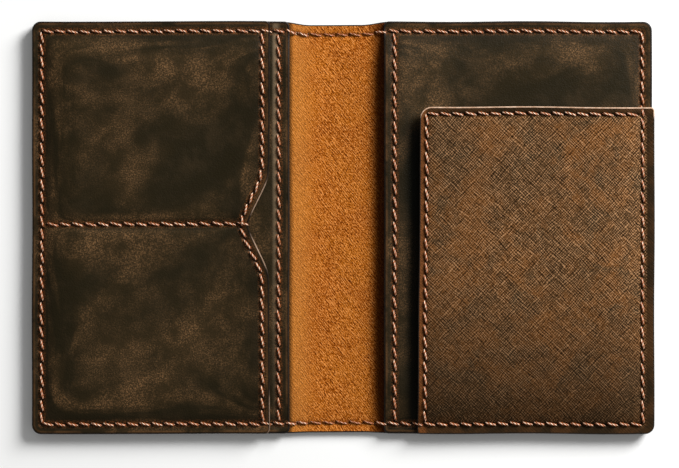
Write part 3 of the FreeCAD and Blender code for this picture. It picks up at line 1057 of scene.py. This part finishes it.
def make_sleeve(side, sign, mouth):
    """A passport sleeve, sewn on three sides, with a rolled mouth edge."""
    levels, outer_pull, mouth_pull = full_rows(SLEEVE_EDGE)
    outer = HALF_WIDTH - SLEEVE_EDGE - outer_pull
    inner = mouth + SLEEVE_EDGE + mouth_pull
    rows = (levels, inner, outer) if sign > 0 else (levels, -outer, -inner)
    piece = make_sheet(f"{side}_sleeve", rows, (sleeve_top, sleeve_under),
                       [f"{side}_outer", f"{side}_mouth"],
                       [panel_leather(), cut_edge(), suede()], SLEEVE_EDGE, fullness=0.9)
    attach(piece, f"{side}_half")
    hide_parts(f"{side}_sleeve_panel", f"{side}_sleeve_sewn_border")


def raw_notch(x, y):
    """Pale on the notch's two flanks, and less so at the mouth's lower end."""
    from_middle = np.abs(y - NOTCH_MIDDLE)
    flanks = ramp(from_middle, 3.0, 5.5) * ramp(NOTCH_HALF - from_middle, 0, 3.5)
    lower_end = ramp(-y, 55, 59)
    return 0.55 * flanks * (-x < CARD_MOUTH + 12) + 0.35 * lower_end * (-x < CARD_MOUTH + 1)


def raw_top(x, y):
    """Pale along the ticket pocket's top edge, round its inner corner too."""
    return ramp(y, TICKET_TOP_EDGE - 4, TICKET_TOP_EDGE - 2)


def make_card_panel():
    """The card slots' panel, with its thumb notch."""
    levels, outer_pull, mouth_pull = full_rows(CARD_EDGE)
    outer = -HALF_WIDTH + CARD_EDGE + outer_pull
    inner = -CARD_MOUTH - CARD_EDGE - notch(levels) - mouth_pull
    piece = make_sheet("card_slots", (levels, outer, inner), (card_top, card_under),
                       ["left_outer", "card_mouth", "divider"],
                       [panel_leather(), cut_edge(), suede()], CARD_EDGE, fullness=0.5, raw=raw_notch)
    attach(piece, "left_half")
    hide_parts("card_slot_panel", "card_slot_sewn_border", "card_slot_divider_seam")


def make_ticket_pocket():
    """The ticket pocket's panel, open along its top and its inner edge."""
    low, high = -HALF_HEIGHT + TICKET_EDGE, TICKET_TOP_EDGE - TICKET_EDGE
    low_radius, high_radius = CORNER - TICKET_EDGE, TICKET_CORNER - TICKET_EDGE
    levels = row_levels(low, high, low_radius, high_radius)
    slant = TICKET_SLANT * (high - levels) / (high - low)
    inner_pull = corners_pull(levels, low, high, TICKET_LOWER_CORNER, high_radius)
    outer_pull = corners_pull(levels, low, high, low_radius, TICKET_OUTER_CORNER)
    inner = TICKET_MOUTH + TICKET_EDGE - slant + inner_pull
    outer = HALF_WIDTH + TICKET_OVERHANG - TICKET_EDGE - outer_pull
    piece = make_sheet("ticket_pocket", (levels, inner, outer), (ticket_top, ticket_under),
                       ["right_outer", "ticket_edge"],
                       [ticket_leather(), cut_edge(), suede()], TICKET_EDGE, fullness=0.5, raw=raw_top)
    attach(piece, "right_half")
    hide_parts("ticket_pocket_panel", "ticket_pocket_sewn_border")


def make_threads():
    """The thread of each seam on the two halves. The outer seam shows on the back too."""
    # Seam, body, CAD node, and how strong the painted highlight on its crests is.
    threads = [
        ("right_outer", "right_half", "right_perimeter_stitching", 0.9),
        ("left_outer", "left_half", "left_perimeter_stitching", 0.9),
        ("left_mouth", "left_half", "left_sleeve_stitching", 0.6),
        ("right_mouth", "right_half", "right_sleeve_stitching", 0.8),
        ("card_mouth", "left_half", "card_mouth_stitching", 1.0),
        ("divider", "left_half", "card_divider_stitching", 0.9),
        ("ticket_edge", "right_half", "ticket_pocket_stitching", 1.0),
    ]
    for seed, (seam, body, node, pale) in enumerate(threads, 60):
        stitches = [(first, last, INSIDE) for first, last in STITCHES[seam]]
        if seam.endswith("outer"):
            stitches += [(first, last, BACK) for first, last in STITCHES[seam]]
        thread = make_thread(f"thread_{seam}", stitches, seed, pale=pale)
        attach(thread, body)
        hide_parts(node)


# ---------------------------------------------------------------- the studio

def make_floor():
    """A plain pale floor, just under the organizer."""
    size, gap = 6, 0.00015
    bpy.ops.mesh.primitive_plane_add(size=size, location=(0, 0, -gap))
    floor = bpy.context.object
    floor.name = "floor"
    shader = Shader("floor", 0.9, 0.0)
    shader.surface.inputs["Base Color"].default_value = (0.93, 0.93, 0.92, 1)
    floor.data.materials.append(shader.material)


def make_key_light():
    """A soft square light from the top right."""
    place = Vector((0.76, 0.67, 0.55))
    light = bpy.data.lights.new("key", "AREA")
    light.shape = "SQUARE"
    light.size = 0.54
    light.energy = 26.5
    made = bpy.data.objects.new("key", light)
    made.location = place
    made.rotation_euler = (-place).to_track_quat("-Z", "Y").to_euler()
    bpy.context.scene.collection.objects.link(made)


def make_surround():
    """An even pale surround."""
    world = bpy.data.worlds.new("surround")
    bpy.context.scene.world = world
    world.use_nodes = True
    background = world.node_tree.nodes["Background"]
    background.inputs["Color"].default_value = (1, 1, 1, 1)
    background.inputs["Strength"].default_value = 0.28
    bpy.context.scene.view_settings.view_transform = "Standard"


def make_camera():
    """Straight above, with the organizer a little above the picture's middle."""
    height, seen_width, sensor = 0.8, 0.2302, 36.0
    camera = bpy.data.cameras.new("camera")
    camera.sensor_width = sensor
    camera.lens = sensor * height / seen_width
    made = bpy.data.objects.new("camera", camera)
    made.location = (-0.00085, -0.0022, height + 0.004)
    bpy.context.scene.collection.objects.link(made)
    bpy.context.scene.camera = made


make_half_cover("right", 1)
make_half_cover("left", -1)
make_folds()
make_sleeve("left", -1, LEFT_MOUTH)
make_sleeve("right", 1, RIGHT_MOUTH)
make_card_panel()
make_ticket_pocket()
make_threads()
make_floor()
make_key_light()
make_surround()
make_camera()
